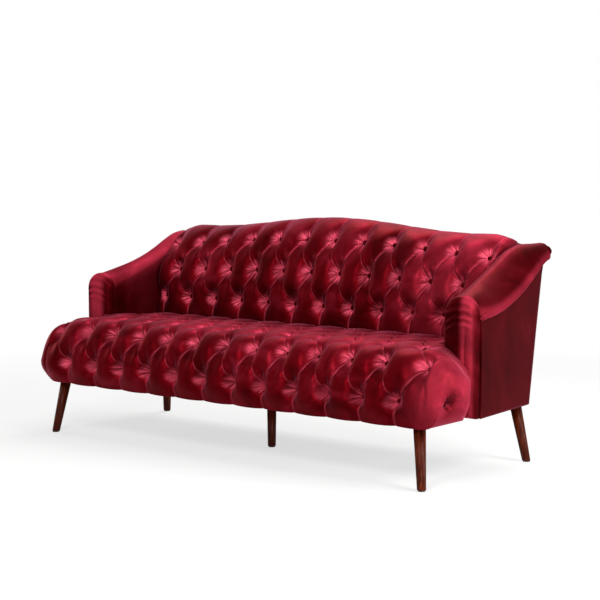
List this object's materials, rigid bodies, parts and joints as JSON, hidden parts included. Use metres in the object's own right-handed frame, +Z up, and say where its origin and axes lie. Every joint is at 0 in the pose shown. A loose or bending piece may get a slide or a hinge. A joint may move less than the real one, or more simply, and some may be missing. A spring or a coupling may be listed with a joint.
{
  "type": "three-seater sofa",
  "caption": "Deep-buttoned velvet settee with a bench seat, humped back, scooped arms rolled outward and splayed tapered wooden legs.",
  "frame": {"origin": "on the floor under the middle of the settee's overall box", "axes": "+X along the width to the right as seen from the front, +Y from the front to the back, +Z up"},
  "size_m": [1.9486, 0.8304, 0.866],
  "materials": {
    "crimson_velvet": "soft pile",
    "walnut": "satin lacquer",
    "frame_timber": "bare sawn",
    "webbing": "woven",
    "felt": "matt",
    "foam": "open cell",
    "black_lining": "matt",
    "plated_steel": "zinc plated",
    "glide_plastic": "matt"
  },
  "bodies": {
    "root": {"seat_pad": "crimson_velvet", "back_pad": "crimson_velvet", "right_arm_pad": "crimson_velvet", "left_arm_pad": "crimson_velvet", "right_arm_front": "crimson_velvet", "left_arm_front": "crimson_velvet", "right_arm_outside_panel": "crimson_velvet", "left_arm_outside_panel": "crimson_velvet", "outside_back_panel": "crimson_velvet", "seat_buttons": "crimson_velvet", "back_buttons": "crimson_velvet", "right_front_leg": "walnut", "left_front_leg": "walnut", "right_rear_leg": "walnut", "left_rear_leg": "walnut", "centre_leg": "walnut", "seat_front_rail": "frame_timber", "seat_back_rail": "frame_timber", "right_seat_side_rail": "frame_timber", "left_seat_side_rail": "frame_timber", "seat_centre_rail": "frame_timber", "seat_cross_rails": "frame_timber", "seat_corner_blocks": "frame_timber", "right_back_post": "frame_timber", "left_back_post": "frame_timber", "back_top_rail": "frame_timber", "back_uprights": "frame_timber", "back_low_rails": "frame_timber", "right_arm_post": "frame_timber", "left_arm_post": "frame_timber", "right_arm_rail": "frame_timber", "left_arm_rail": "frame_timber", "seat_webbing": "webbing", "back_webbing": "webbing", "seat_felt": "felt", "seat_foam": "foam", "back_foam": "foam", "dust_cover": "black_lining", "leg_plates": "plated_steel", "leg_studs": "plated_steel", "leg_glides": "glide_plastic"}
  },
  "joints": []
}
